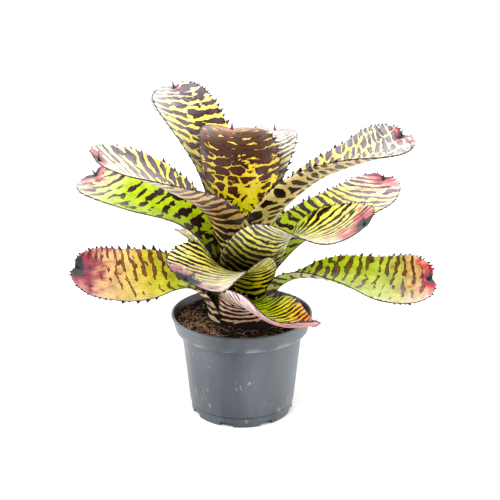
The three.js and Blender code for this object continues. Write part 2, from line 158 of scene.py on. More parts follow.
# Leaf colours, sRGB.
PAINTS = {
    "lime": "#b4cc10", "leafgreen": "#bcca4c", "olive": "#a49a2c", "yellow": "#dccc08", "acid": "#ccc00c",
    "straw": "#e6e064", "pale": "#f0eebc", "cream": "#f0dcb4", "tan": "#dcc474", "amber": "#e8a428",
    "honey": "#e0aa50", "orange": "#e87a10", "salmon": "#dc9878", "rose": "#cc6a78", "blush": "#f0d6d0",
    "crimson": "#c02846", "ember": "#d24a18", "black": "#0a0504", "maroon": "#30100c", "plum": "#46242a", "umber": "#26150e",
    "mauve": "#675266", "grey": "#54464c", "smoke": "#9a90a0", "slate": "#3f4c4e", "wine": "#661a22",
    "green_grey": "#8c947c", "wheat": "#dcb83c", "peaty": "#66503c", "garnet": "#4e130e", "mulberry": "#9a3c58",
    "walnut": "#46281a", "lilac": "#c08e9c", "milk": "#fce4c4", "sand": "#e8cc90", "moss": "#6e5620", "rust": "#80502c", "mustard": "#ccc034", "clay": "#dcb47c", "dusk": "#c08070",
}

# What each leaf's faces show, at the foot, a quarter, half, three quarters and the tip: ground colour, colour of
# the bands, share of the face that they cover, how far they break up into cells, silvery bloom.
# bands: spacing of the bands in millimetres, how far along they run per millimetre across, at the same five places,
# and how much further along the margins they stand than on the middle line. lean: more cover towards one margin.
# shine: a painted highlight, with more pale bloom towards the one margin of the upper face that catches the light.
# At the foot most faces have an olive ground and black bands. This is partly the leaf's own colour and partly
# painted shade down in the tank.
LOOKS = {
    "leaf_heart": dict(
        upper=("lime lime yellow yellow tan", "black black maroon maroon maroon",
               (.5, .5, .5, .5, .5), (0, 0, .2, .3, .3), (0, 0, 0, .1, .2)),
        lower=("olive olive tan tan tan", "black black maroon plum plum",
               (.6, .6, .5, .5, .5), (0, 0, .2, .3, .3), (0, .1, .2, .2, .2)),
        bands=((5, 5, 5, 5, 5), (0, 0, 0, 0, 0), 0), lean=0, shine=0, tip=("rose", 5, 2.5)),
    "leaf_01": dict(
        upper=("lime lime acid wheat sand", "black garnet garnet walnut peaty",
               (.62, .7, .52, .85, 1.02), (0, .3, .85, .6, .1), (0, 0, 0, 0, .03)),
        lower=("olive tan tan amber salmon", "black maroon plum grey grey",
               (.6, .6, .5, .5, .5), (0, .3, .3, .4, .4), (0, .2, .4, .5, .5)),
        bands=((9, 8, 7.6, 7, 4.6), (0, 0, 0, .05, .1), 5), lean=0, shine=0, rim=0, tip=("ember", 20, 2, 0.3)),
    "leaf_02": dict(
        upper=("lime lime straw straw pale", "black maroon mauve mauve grey",
               (.6, .55, .46, .5, .6), (0, .2, .4, .7, .6), (0, 0, .1, .4, .5)),
        lower=("olive tan sand sand salmon", "black umber umber grey grey",
               (.72, .5, .5, .5, .5), (.4, .8, .8, .4, .4), (0, 0, 0, .2, .3)),
        bands=((9, 9, 8, 6.2, 5.5), (.4, .4, .2, .3, .3), 0), lean=.05, shine=-.15, tip=("crimson", 13, 6)),
    "leaf_03": dict(
        upper=("lime lime straw straw pale", "black maroon mauve mauve grey",
               (.6, .6, .54, .56, .46), (0, .3, .75, .35, 0), (0, 0, .15, .3, .5)),
        lower=("olive tan honey sand tan", "black umber umber grey smoke",
               (.7, .64, .62, .55, .5), (0, .15, .2, .1, .1), (0, 0, .1, .45, .5)),
        bands=((9, 9, 8.5, 9, 7), (-.3, -.3, -.2, -.5, -.7), 0), lean=-.08, shine=.35, tip=("crimson", 15, 9)),
    "leaf_04": dict(
        upper=("lime lime leafgreen pale blush", "black plum mauve mauve mauve",
               (.5, .5, .5, .46, .44), (0, 0, .1, 0, 0), (0, 0, .05, .15, .15)),
        lower=("olive tan tan tan salmon", "black maroon plum grey grey",
               (.6, .6, .5, .5, .5), (0, .1, .1, .1, .1), (.2, .3, .5, .6, .5)),
        bands=((8, 8, 8, 6, 5.5), (0, -.2, -.3, -.5, -.8), 0), lean=0, shine=0, tip=("rose", 24, 2, .5)),
    "leaf_05": dict(
        upper=("lime yellow straw straw pale", "black maroon plum plum mauve",
               (.6, .54, .5, .56, .6), (0, .1, .2, .45, .6), (0, 0, .06, .15, .5)),
        lower=("olive tan tan tan salmon", "black maroon plum grey grey",
               (.6, .6, .5, .5, .5), (0, .1, .2, .2, .1), (.2, .3, .4, .5, .5)),
        bands=((10, 10.5, 11, 10, 8), (0, .2, .4, .4, .1), 0), lean=0, shine=.25, tip=("rose", 11, 3)),
    "leaf_06": dict(
        upper=("lime lime lime straw pale", "black black maroon maroon grey",
               (.6, .55, .5, .42, .4), (0, 0, 0, 0, 0), (0, 0, .05, .3, .5)),
        lower=("olive olive straw pale pale", "black black black mauve smoke",
               (.7, .66, .56, .5, .5), (.6, .1, 0, 0, 0), (0, 0, .12, .55, .6)),
        bands=((8, 8, 7.5, 6, 5), (-.1, -.2, 0, .5, .9), 0), lean=.04, shine=-.45, tip=("rose", 34, 13)),
    "leaf_07": dict(
        upper=("lime lime lime straw blush", "black black plum mauve mauve",
               (.66, .46, .42, .46, .46), (.5, .4, .1, .1, 0), (0, 0, .1, .25, .3)),
        lower=("olive tan pale pale blush", "black plum grey smoke smoke",
               (.6, .5, .45, .4, .4), (0, .1, .1, .1, .1), (.2, .3, .5, .6, .6)),
        bands=((9, 10, 11, 10, 6), (0, -.2, -.5, -.6, -.5), 0), lean=.06, shine=-.15, tip=("rose", 26, 4)),
    "leaf_08": dict(
        upper=("lime lime lime lime pale", "black maroon maroon plum mauve",
               (.68, .58, .46, .42, .4), (.2, .4, .55, .3, 0), (0, 0, 0, .06, .45)),
        lower=("olive tan pale pale blush", "black plum grey smoke smoke",
               (.6, .5, .45, .4, .4), (0, .1, .1, .1, .1), (.2, .3, .5, .6, .6)),
        bands=((12, 12, 11, 10, 9), (0, .05, .1, .2, .4), 0), lean=-.06, shine=.3, tip=("rose", 22, 7)),
    "leaf_09": dict(
        upper=("lime lime straw straw pale", "black black black maroon grey",
               (.6, .56, .52, .46, .4), (0, 0, 0, 0, 0), (0, 0, .22, .45, .55)),
        lower=("olive acid straw pale blush", "black black black maroon plum",
               (.66, .54, .5, .42, .4), (.5, .2, .1, 0, 0), (0, 0, .05, .5, .6)),
        bands=((8, 7, 6.2, 6.2, 6), (0, -.3, -.9, -1.3, -1.2), 0), lean=-.1, shine=1.1, tip=("lilac", 24, 15, .7)),
    "leaf_10": dict(
        upper=("lime lime lime straw salmon", "black black maroon plum mauve",
               (.6, .48, .42, .4, .4), (0, .1, .3, .2, 0), (0, 0, .05, .2, .4)),
        lower=("olive tan tan pale blush", "black plum grey smoke smoke",
               (.6, .5, .45, .4, .4), (0, .1, .1, .1, .1), (.2, .3, .5, .6, .6)),
        bands=((9, 9, 8, 7, 5), (0, .2, .3, .3, .3), 0), lean=0, shine=0, tip=("crimson", 14, 5)),
    "leaf_11": dict(
        upper=("olive lime lime leafgreen salmon", "black maroon moss moss wine",
               (.6, .46, .34, .26, .3), (0, .1, .1, .05, 0), (0, 0, 0, .06, .2)),
        lower=("olive leafgreen pale pale blush", "black maroon plum smoke smoke",
               (.6, .45, .4, .3, .3), (0, .1, .1, .1, .1), (.1, .15, .3, .5, .5)),
        bands=((8, 8.5, 8.5, 8, 7), (.1, .2, .2, .12, 0), 0), lean=.2, shine=-.4, tip=("crimson", 18, 6)),
    "leaf_12": dict(
        upper=("olive lime lime yellow salmon", "black black maroon plum wine",
               (.55, .46, .42, .38, .4), (0, .1, .2, .2, 0), (0, 0, .05, .1, .3)),
        lower=("olive tan tan salmon rose", "black maroon plum grey smoke",
               (.6, .5, .45, .4, .4), (0, .1, .1, .1, .1), (.1, .2, .4, .5, .5)),
        bands=((8, 8.5, 8.5, 8, 6), (0, .1, .2, .2, .2), 0), lean=.1, shine=0, tip=("crimson", 15, 5)),
    "leaf_13": dict(
        upper=("olive lime lime acid orange", "black black black umber wine",
               (.6, .5, .42, .42, .5), (0, 0, 0, 0, 0), (0, 0, 0, 0, 0)),
        lower=("milk milk blush dusk dusk", "garnet garnet garnet wine wine",
               (.56, .52, .46, .3, .3), (0, 0, 0, 0, 0), (0, .05, .25, .1, .1)),
        bands=((4, 4, 4.6, 5, 4.6), (0, .1, .7, 1.1, .8), 0), lean=.04, shine=0, tip=("crimson", 15, 4)),
    "leaf_14": dict(
        upper=("olive lime mustard clay dusk", "black maroon rust rust wine",
               (.6, .44, .3, .22, .2), (0, .1, .05, .1, .2), (0, 0, .03, .06, .1)),
        lower=("cream cream salmon rose rose", "black wine wine wine wine",
               (.6, .5, .4, .3, .3), (0, .1, .1, .1, .1), (0, .15, .3, .3, .4)),
        bands=((8, 8.5, 8.5, 7, 6), (0, -.2, -.3, -.2, 0), 0), lean=-.3, shine=.1, tip=("mulberry", 34, 12)),
    "leaf_15": dict(
        upper=("olive lime yellow tan salmon", "black maroon plum wine wine",
               (.5, .46, .4, .34, .3), (0, .1, .2, .2, .1), (0, 0, .05, .1, .3)),
        lower=("wine salmon salmon rose rose", "black maroon wine wine wine",
               (.6, .5, .4, .3, .3), (0, .1, .1, .1, .1), (0, .15, .3, .3, .4)),
        bands=((8, 9, 9, 8, 6), (0, -.1, -.2, -.1, 0), 0), lean=0, shine=0, tip=("crimson", 16, 6)),
}


def linear(colour):
    """An sRGB hex colour as linear red, green, blue and a full alpha."""
    parts = [int(colour[i:i + 2], 16) / 255 for i in (1, 3, 5)]
    return [c / 12.92 if c <= 0.04045 else ((c + 0.055) / 1.055) ** 2.4 for c in parts] + [1.0]


def along(knots, t):
    """Smooth curve through evenly spaced knots, t from 0 to 1."""
    last = len(knots) - 1
    x = min(max(t, 0.0), 1.0) * last
    i = min(int(x), last - 1)
    f = x - i
    a, b = knots[i], knots[i + 1]
    before = knots[i - 1] if i > 0 else 2 * a - b
    after = knots[i + 2] if i + 2 <= last else 2 * b - a
    f2, f3 = f * f, f * f * f
    return ((2 * f3 - 3 * f2 + 1) * a + (f3 - 2 * f2 + f) * (b - before) / 2
            + (3 * f2 - 2 * f3) * b + (f3 - f2) * (after - a) / 2)


def smooth(x, low, high):
    share = min(max((x - low) / (high - low), 0.0), 1.0)
    return share * share * (3 - 2 * share)


class Blade:
    """A leaf's surface: point(t, u) with t from foot to tip and u from -1 to 1 across."""

    STEP = 0.5  # millimetres between the points of the middle line

    def __init__(self, leaf):
        self.leaf = leaf
        self.length = leaf["length"]
        self.clasp = leaf.get("clasp", CLASP)
        self.ring = FIRST_RING + RING_STEP * leaf["ring"]
        inmost = (self.ring - 0.5) * math.cos(self.clasp / FACETS_ACROSS)
        self.foot = CROWN_BASE + (CROWN_RADIUS - inmost) * CROWN_SLOPE + FOOT_FIT
        self.below = (self.foot - BURIED_TO) / self.length
        azimuth = math.radians(leaf["azimuth"])
        point = Vector((self.ring * math.cos(azimuth), self.ring * math.sin(azimuth), self.foot))
        self.count = math.ceil(self.length / self.STEP)
        self.middles = [point.copy()]
        for i in range(self.count):
            ahead, _ = self.heading((i + 0.5) / self.count)
            point = point + ahead * (self.length / self.count)
            self.middles.append(point.copy())

    def heading(self, t):
        climb = math.radians(along(self.leaf["climb"], t))
        turn = math.radians(self.leaf["azimuth"] + along(self.leaf["turn"], t))
        ahead = Vector((math.cos(climb) * math.cos(turn), math.cos(climb) * math.sin(turn), math.sin(climb)))
        return ahead, turn

    def frame(self, t):
        """Middle point, heading, side and upper direction at t; below the foot it goes straight down."""
        ahead, turn = self.heading(t)
        if t < 0:
            middle = self.middles[0] + Vector((0, 0, t * self.length))
        else:
            x = min(t, 1.0) * self.count
            i = min(int(x), self.count - 1)
            middle = self.middles[i].lerp(self.middles[i + 1], x - i)
        level = Vector((-math.sin(turn), math.cos(turn), 0))
        raised = ahead.cross(level)
        roll = math.radians(along(self.leaf["roll"], t))
        side = level * math.cos(roll) + raised * math.sin(roll)
        upper = raised * math.cos(roll) - level * math.sin(roll)
        return middle, ahead, side, upper

    def free_half(self, t):
        leaf = self.leaf
        share = along(leaf.get("outline", OUTLINE), min(t / OUTLINE_END, 1))
        start = leaf.get("round", ROUND_FROM)
        if t > start:
            x = (t - start) / (1 - start)
            share *= math.sqrt(max(0.0, 1 - x ** ROUND_POWER))
        return leaf["width"] / 2 * share

    def section(self, t, distance):
        """Half-width and channel radius; the foot clasps the tank and so is curved about its axis."""
        free = self.free_half(t)
        clasping = self.clasp * distance
        free_radius = self.leaf["width"] / 2 / math.radians(along(self.leaf["cup"], t))
        opens_from, opens_by = self.leaf.get("opens", OPENS)
        freed = smooth(clasping / max(free, 1e-6), 1, FREED_AT) * smooth(t, opens_from, opens_by)
        half = min(free, clasping) if t < CLASPS_TO else free
        clasping_radius = min(distance, max(free / self.clasp, self.ring))
        return half, clasping_radius + (free_radius - clasping_radius) * freed

    def point(self, t, u, lift=0.0):
        """The place, the surface normal towards the upper face, and the reach across in millimetres."""
        middle, ahead, side, upper = self.frame(t)
        half, radius = self.section(t, math.hypot(middle.x, middle.y))
        a = u * half / radius
        place = middle + side * (radius * math.sin(a)) + upper * (radius * (1 - math.cos(a)))
        normal = upper * math.cos(a) - side * math.sin(a)
        # The tip gathers into its thorn: its middle is drawn back and sunk, so the sides stand round it.
        gather = self.leaf.get("gather", 1.0) * smooth(t, 0.9, 1.0) * math.exp(-(u * half / 5.0) ** 2)
        place = place - ahead * (3.0 * gather) - upper * (1.4 * gather)
        return place + normal * lift, normal, u * half


def deselect():
    if bpy.context.object and bpy.context.object.mode != "OBJECT":
        bpy.ops.object.mode_set(mode="OBJECT")
    bpy.ops.object.select_all(action="DESELECT")


def named(name):
    """The object that was just added, under its own name."""
    piece = bpy.context.object
    piece.name = name
    piece.data.name = name
    return piece


def seat(piece):
    """Puts the object's place, turn and size into its mesh."""
    deselect()
    piece.select_set(True)
    bpy.context.view_layer.objects.active = piece
    bpy.ops.object.transform_apply(location=True, rotation=True, scale=True)


def apply_modifier(piece, kind, **settings):
    bpy.context.view_layer.objects.active = piece
    modifier = piece.modifiers.new(kind.title(), kind)
    for key, value in settings.items():
        setattr(modifier, key, value)
    bpy.ops.object.modifier_apply(modifier=modifier.name)


def copies(name, template, places):
    """One mesh of a modelled piece repeated at many 4x4 places; the template is removed."""
    count = len(template.data.vertices)
    base = np.empty(count * 3)
    template.data.vertices.foreach_get("co", base)
    base = np.c_[base.reshape(-1, 3), np.ones(count)]
    faces = [tuple(p.vertices) for p in template.data.polygons]
    points = np.concatenate([(base @ np.array(m).T)[:, :3] for m in places])
    every = [tuple(v + k * count for v in face) for k in range(len(places)) for face in faces]
    mesh = bpy.data.meshes.new(name)
    mesh.from_pydata(points.tolist(), [], every)
    piece = bpy.data.objects.new(name, mesh)
    bpy.context.collection.objects.link(piece)
    bpy.data.objects.remove(template, do_unlink=True)
    return piece


def join(pieces):
    deselect()
    for piece in pieces:
        piece.select_set(True)
    bpy.context.view_layer.objects.active = pieces[0]
    bpy.ops.object.join()
    return pieces[0]


def turned(name, profile, steps):
    """A round solid: a closed profile of radius and height in millimetres, taken once round the Z axis."""
    mesh = bpy.data.meshes.new(name)
    mesh.from_pydata([(r * MM, 0, z * MM) for r, z in profile], [(i, i + 1) for i in range(len(profile) - 1)], [])
    piece = bpy.data.objects.new(name, mesh)
    bpy.context.collection.objects.link(piece)
    deselect()
    piece.select_set(True)
    apply_modifier(piece, "SCREW", axis="Z", angle=2 * math.pi, steps=steps, render_steps=steps,
                   use_merge_vertices=True, merge_threshold=1e-6)
    bpy.ops.object.mode_set(mode="EDIT")
    bpy.ops.mesh.select_all(action="SELECT")
    bpy.ops.mesh.remove_doubles(threshold=1e-6)
    bpy.ops.mesh.normals_make_consistent(inside=False)
    bpy.ops.object.mode_set(mode="OBJECT")
    return piece


def settings():
    return bpy.context.scene.neoregelia


# Materials

def new_material(name, class_slot=None):
    material = bpy.data.materials.new(name)
    material.use_nodes = True
    tree = material.node_tree
    tree.nodes.clear()
    return material, tree


def add(tree, kind, values=None, inputs=None, out=None):
    """Adds a node with its own values and its sockets, each a number, a colour or another node's output."""
    made = tree.nodes.new(kind)
    for key, value in (values or {}).items():
        setattr(made, key, value)
    for key, value in (inputs or {}).items():
        if isinstance(value, bpy.types.NodeSocket):
            tree.links.new(value, made.inputs[key])
        else:
            made.inputs[key].default_value = value
    if out is not None:
        return made.outputs[out]
    return next((o for o in made.outputs if o.enabled), None)


def finish_material(tree, shader):
    add(tree, "ShaderNodeOutputMaterial", inputs={"Surface": shader})


def blade_material(side):
    """Leathery bromeliad leaf: waxy skin with crossbands, thin silvery scales, fine ribs along its length."""
    material, tree = new_material("waxy_leaf_" + side)
    place = add(tree, "ShaderNodeAttribute", {"attribute_name": "blade_mm"}, out="Vector")
    ground = add(tree, "ShaderNodeAttribute", {"attribute_name": side + "_ground"}, out="Color")
    mark = add(tree, "ShaderNodeAttribute", {"attribute_name": side + "_mark"}, out="Color")
    style = add(tree, "ShaderNodeAttribute", {"attribute_name": side + "_style"}, out="Color")
    style = add(tree, "ShaderNodeSeparateColor", inputs={"Color": style}, out=0).node
    cover, cells, bloom = style.outputs[0], style.outputs[1], style.outputs[2]

    # The bands wander by a few millimetres and wave a little more finely.
    drift = add(tree, "ShaderNodeTexNoise", inputs={
        "Vector": add(tree, "ShaderNodeVectorMath", {"operation": "MULTIPLY"},
                      {0: place, 1: (1 / 24, 1 / 20, 1)}), "Scale": 1.0, "Detail": 2.0}, out="Color")
    drift = add(tree, "ShaderNodeVectorMath", {"operation": "SUBTRACT"}, {0: drift, 1: (0.5, 0.5, 0.5)})
    drift = add(tree, "ShaderNodeVectorMath", {"operation": "MULTIPLY"}, {0: drift, 1: (7, 8, 0)})
    ripple = add(tree, "ShaderNodeTexNoise", inputs={"Vector": place, "Scale": 0.32, "Detail": 2.0}, out="Color")
    ripple = add(tree, "ShaderNodeVectorMath", {"operation": "SUBTRACT"}, {0: ripple, 1: (0.5, 0.5, 0.5)})
    ripple = add(tree, "ShaderNodeVectorMath", {"operation": "MULTIPLY"}, {0: ripple, 1: (2.4, 2.2, 0)})
    pattern = add(tree, "ShaderNodeAttribute", {"attribute_name": "blade_bands"}, out="Vector")
    bent = add(tree, "ShaderNodeVectorMath", {"operation": "ADD"}, {0: pattern, 1: drift})
    bent = add(tree, "ShaderNodeVectorMath", {"operation": "ADD"}, {0: bent, 1: ripple})
    bent_y = add(tree, "ShaderNodeSeparateXYZ", inputs={0: bent}, out=1)

    # Bands across the leaf, torn open by streaks 9 mm long and 3 mm high.
    turns = add(tree, "ShaderNodeMath", {"operation": "MULTIPLY"}, {0: bent_y, 1: 2 * math.pi / BAND_UNIT})
    wave = add(tree, "ShaderNodeMath", {"operation": "SINE"}, {0: turns})
    streak = add(tree, "ShaderNodeTexNoise", inputs={
        "Vector": add(tree, "ShaderNodeVectorMath", {"operation": "MULTIPLY"},
                      {0: bent, 1: (1 / 9, 1 / 3, 1)}), "Scale": 1.0, "Detail": 1.5}, out="Fac")
    streak = add(tree, "ShaderNodeMath", {"operation": "SUBTRACT"}, {0: streak, 1: 0.5})
    bands = add(tree, "ShaderNodeMath", {"operation": "MULTIPLY_ADD"}, {0: wave, 1: 0.44, 2: add(
        tree, "ShaderNodeMath", {"operation": "MULTIPLY"}, {0: streak, 1: 2.5})})

    # Rounded cells about 13 mm across, one row to a band, parted by thin lines of the ground colour.
    edge = add(tree, "ShaderNodeTexVoronoi", {"feature": "DISTANCE_TO_EDGE"}, {
        "Vector": add(tree, "ShaderNodeVectorMath", {"operation": "MULTIPLY_ADD"},
                      {0: bent, 1: (1 / 13, 1 / BAND_UNIT, 1), 2: (0, 0.25, 0)}),
        "Scale": 1.0, "Randomness": 0.62}, out=0)
    cell = add(tree, "ShaderNodeMath", {"operation": "MULTIPLY_ADD"}, {0: edge, 1: 4.2, 2: -0.62})
    cell = add(tree, "ShaderNodeMath", {"operation": "MULTIPLY_ADD"}, {0: streak, 1: 0.7, 2: cell})
    shape = add(tree, "ShaderNodeMix", {"data_type": "FLOAT"}, {0: cells, 2: bands, 3: cell})
    limit = add(tree, "ShaderNodeMath", {"operation": "MULTIPLY_ADD"}, {0: cover, 1: 1.3, 2: -0.65})
    depth = add(tree, "ShaderNodeMath", {"operation": "ADD"}, {0: shape, 1: limit})
    banded = add(tree, "ShaderNodeMapRange", {"interpolation_type": "SMOOTHSTEP"},
                 {"Value": depth, "From Min": -0.06, "From Max": 0.06})
    deep = add(tree, "ShaderNodeMapRange", {"interpolation_type": "SMOOTHSTEP"},
               {"Value": depth, "From Min": 0.02, "From Max": 0.5, "To Min": 0.5, "To Max": 1.0})

    # Ground: soft mottling, freckles, and fine veins along the leaf about a millimetre apart.
    mottle = add(tree, "ShaderNodeTexNoise", inputs={"Vector": place, "Scale": 0.11, "Detail": 3.0}, out="Fac")
    mottle = add(tree, "ShaderNodeMapRange",
                 inputs={"Value": mottle, "From Min": 0.3, "From Max": 0.7, "To Min": 0.72, "To Max": 1.1})
    veins = add(tree, "ShaderNodeTexNoise", inputs={
        "Vector": add(tree, "ShaderNodeVectorMath", {"operation": "MULTIPLY"},
                      {0: place, 1: (1.1, 1 / 16, 1)}), "Scale": 1.0, "Detail": 2.0}, out="Fac")
    veins = add(tree, "ShaderNodeMapRange",
                inputs={"Value": veins, "From Min": 0.3, "From Max": 0.7, "To Min": 0.84, "To Max": 1.06})
    shade = add(tree, "ShaderNodeMath", {"operation": "MULTIPLY"}, {0: mottle, 1: veins})
    ground = add(tree, "ShaderNodeVectorMath", {"operation": "SCALE"}, {0: ground, "Scale": shade})
    mark = add(tree, "ShaderNodeVectorMath", {"operation": "SCALE"}, {0: mark, "Scale": deep})
    colour = add(tree, "ShaderNodeMix", {"data_type": "RGBA"}, {0: banded, 6: ground, 7: mark})
    freckle = add(tree, "ShaderNodeTexNoise", inputs={"Vector": place, "Scale": 0.75, "Detail": 1.0}, out="Fac")
    freckle = add(tree, "ShaderNodeMapRange", inputs={
        "Value": freckle, "From Min": 0.7, "From Max": 0.74, "To Min": 0.0, "To Max": 0.7})
    colour = add(tree, "ShaderNodeMix", {"data_type": "RGBA"}, {0: freckle, 6: colour, 7: linear("#4a1a18")})

    # Silvery scales: a thin pale bloom in cross streaks, rougher than the bare skin. The bloom also carries the
    # painted highlight along the margins and towards one side.
    scales = add(tree, "ShaderNodeTexNoise", inputs={
        "Vector": add(tree, "ShaderNodeVectorMath", {"operation": "MULTIPLY"},
                      {0: bent, 1: (1 / 8, 1 / 2.2, 1)}), "Scale": 1.0, "Detail": 4.0}, out="Fac")
    scales = add(tree, "ShaderNodeMapRange", inputs={
        "Value": scales, "From Min": 0.35, "From Max": 0.68, "To Min": 0.25, "To Max": 1.0})
    scales = add(tree, "ShaderNodeMath", {"operation": "MULTIPLY"}, {0: scales, 1: bloom})
    veil = add(tree, "ShaderNodeMath", {"operation": "MULTIPLY"}, {0: scales, 1: 0.85})
    colour = add(tree, "ShaderNodeMix", {"data_type": "RGBA"}, {0: veil, 6: colour, 7: linear("#e6e0e6")})

    grain = add(tree, "ShaderNodeTexNoise", inputs={"Vector": place, "Scale": 1.6, "Detail": 3.0}, out="Fac")
    ribs = add(tree, "ShaderNodeTexNoise", inputs={
        "Vector": add(tree, "ShaderNodeVectorMath", {"operation": "MULTIPLY"},
                      {0: place, 1: (0.9, 1 / 40, 1)}), "Scale": 1.0, "Detail": 1.0}, out="Fac")
    relief = add(tree, "ShaderNodeMath", {"operation": "MULTIPLY_ADD"}, {0: grain, 1: 0.3, 2: ribs})
    bump = add(tree, "ShaderNodeBump", inputs={"Height": relief, "Distance": 0.0006, "Strength": 0.35})
    rough = add(tree, "ShaderNodeMath", {"operation": "MULTIPLY_ADD"}, {0: scales, 1: 0.2, 2: 0.33})
    finish_material(tree, add(tree, "ShaderNodeBsdfPrincipled", inputs={
        "Base Color": colour, "Roughness": rough, "Normal": bump, "IOR": 1.45, "Specular IOR Level": 0.22}))
    return material


def horn_material(name, base, tip):
    """Dry hardened leaf edge: dark and satin, finely mottled with a paler tone."""
    material, tree = new_material(name)
    place = add(tree, "ShaderNodeTexCoord", out="Object")
    tint = add(tree, "ShaderNodeTexNoise", inputs={"Vector": place, "Scale": 420.0, "Detail": 2.0}, out="Fac")
    colour = add(tree, "ShaderNodeMix", {"data_type": "RGBA"}, {0: tint, 6: linear(base), 7: linear(tip)})
    finish_material(tree, add(tree, "ShaderNodeBsdfPrincipled", inputs={
        "Base Color": colour, "Roughness": 0.5, "IOR": 1.5}))
    return material


def pot_material():
    """Injection-moulded recycled polypropylene: mid grey satin skin with scuffs, lime marks and flow haze."""
    material, tree = new_material("moulded_polypropylene")
    place = add(tree, "ShaderNodeTexCoord", out="Object")
    haze = add(tree, "ShaderNodeTexNoise", inputs={
        "Vector": add(tree, "ShaderNodeVectorMath", {"operation": "MULTIPLY"}, {0: place, 1: (30, 30, 9)}),
        "Scale": 1.0, "Detail": 3.0}, out="Fac")
    haze = add(tree, "ShaderNodeMapRange", inputs={
        "Value": haze, "From Min": 0.3, "From Max": 0.7, "To Min": 0.0, "To Max": 1.0})
    base = tuple(settings().pot.plastic) + (1.0,)
    colour = add(tree, "ShaderNodeMix", {"data_type": "RGBA"}, {0: haze, 6: base, 7: linear("#5f656a")})
    # Scuffs: short pale scratches a few tenths of a millimetre wide, in patches.
    scratch = add(tree, "ShaderNodeTexNoise", inputs={
        "Vector": add(tree, "ShaderNodeVectorMath", {"operation": "MULTIPLY"}, {0: place, 1: (300, 300, 120)}),
        "Scale": 1.0, "Detail": 3.0, "Distortion": 1.2}, out="Fac")
    patch = add(tree, "ShaderNodeTexNoise", inputs={"Vector": place, "Scale": 40.0, "Detail": 3.0}, out="Fac")
    scratch = add(tree, "ShaderNodeMapRange", inputs={"Value": scratch, "From Min": 0.58, "From Max": 0.7})
    patch = add(tree, "ShaderNodeMapRange", inputs={"Value": patch, "From Min": 0.56, "From Max": 0.64})
    scuff = add(tree, "ShaderNodeMath", {"operation": "MULTIPLY"}, {0: scratch, 1: patch})
    scuff = add(tree, "ShaderNodeMath", {"operation": "MULTIPLY"}, {0: scuff, 1: 0.42})
    colour = add(tree, "ShaderNodeMix", {"data_type": "RGBA"}, {0: scuff, 6: colour, 7: linear("#b9bab2")})
    # The lower edge of the collar is paler in blotches.
    height = add(tree, "ShaderNodeSeparateXYZ", inputs={0: place}, out="Z")
    collar_pale = add(tree, "ShaderNodeMapRange", {"interpolation_type": "SMOOTHSTEP"},
                 {"Value": height, "From Min": 0.0725, "From Max": 0.078, "To Min": 1.0, "To Max": 0.0})
    below = add(tree, "ShaderNodeMath", {"operation": "GREATER_THAN"}, {0: height, 1: 0.0722})
    collar_pale = add(tree, "ShaderNodeMath", {"operation": "MULTIPLY"}, {0: collar_pale, 1: below})
    blotch = add(tree, "ShaderNodeTexNoise", inputs={"Vector": place, "Scale": 85.0, "Detail": 4.0}, out="Fac")
    blotch = add(tree, "ShaderNodeMapRange", inputs={"Value": blotch, "From Min": 0.46, "From Max": 0.6})
    collar_pale = add(tree, "ShaderNodeMath", {"operation": "MULTIPLY"}, {0: collar_pale, 1: blotch})
    collar_pale = add(tree, "ShaderNodeMath", {"operation": "MULTIPLY"}, {0: collar_pale, 1: 0.4})
    colour = add(tree, "ShaderNodeMix", {"data_type": "RGBA"}, {0: collar_pale, 6: colour, 7: linear("#b4b8b8")})
    grain = add(tree, "ShaderNodeTexNoise", inputs={"Vector": place, "Scale": 1300.0, "Detail": 2.0}, out="Fac")
    bump = add(tree, "ShaderNodeBump", inputs={"Height": grain, "Distance": 0.0002, "Strength": 0.2})
    rough = add(tree, "ShaderNodeMath", {"operation": "MULTIPLY_ADD"}, {0: haze, 1: 0.14, 2: 0.3})
    finish_material(tree, add(tree, "ShaderNodeBsdfPrincipled", inputs={
        "Base Color": colour, "Roughness": rough, "Normal": bump, "IOR": 1.49}))
    return material


def mix_material(name, dark, light, scale, rough):
    """Moist peat and bark: very dark, with browner grains."""
    material, tree = new_material(name)
    place = add(tree, "ShaderNodeTexCoord", out="Object")
    grains = add(tree, "ShaderNodeTexNoise", inputs={
        "Vector": place, "Scale": scale, "Detail": 5.0, "Roughness": 0.7}, out="Fac")
    grains = add(tree, "ShaderNodeMapRange", inputs={"Value": grains, "From Min": 0.42, "From Max": 0.72})
    colour = add(tree, "ShaderNodeMix", {"data_type": "RGBA"}, {0: grains, 6: dark, 7: light})
    bump = add(tree, "ShaderNodeBump", inputs={"Height": grains, "Distance": 0.001, "Strength": 0.6})
    finish_material(tree, add(tree, "ShaderNodeBsdfPrincipled", inputs={
        "Base Color": colour, "Roughness": rough, "Normal": bump, "IOR": 1.4}))
    return material


# Leaves

def paint_values(names):
    return np.array([linear(PAINTS[n])[:3] for n in names.split()])


def ramp(stops, t):
    """Stops at even steps of t, joined by straight lines; stops may be numbers or colours."""
    stops = np.asarray(stops, float)
    x = np.clip(t, 0, 1) * (len(stops) - 1)
    i = np.minimum(x.astype(int), len(stops) - 2)
    f = x - i
    if stops.ndim == 2:
        f = f[:, None]
    return stops[i] * (1 - f) + stops[i + 1] * f


def band_places(blade, look, t, x, u):
    """Where each point lies in the pattern, along the leaf, with one band every BAND_UNIT millimetres."""
    spacing, sweep, bow = look["bands"]
    steps = np.linspace(-0.6, 1.6, 2201)
    rise = blade.length * BAND_UNIT / ramp(spacing, steps)
    run = np.concatenate([[0], np.cumsum((rise[1:] + rise[:-1]) / 2 * np.diff(steps))])
    shifted = t - (ramp(sweep, t) * x + bow * u * u) / blade.length
    return np.interp(shifted, steps, run)


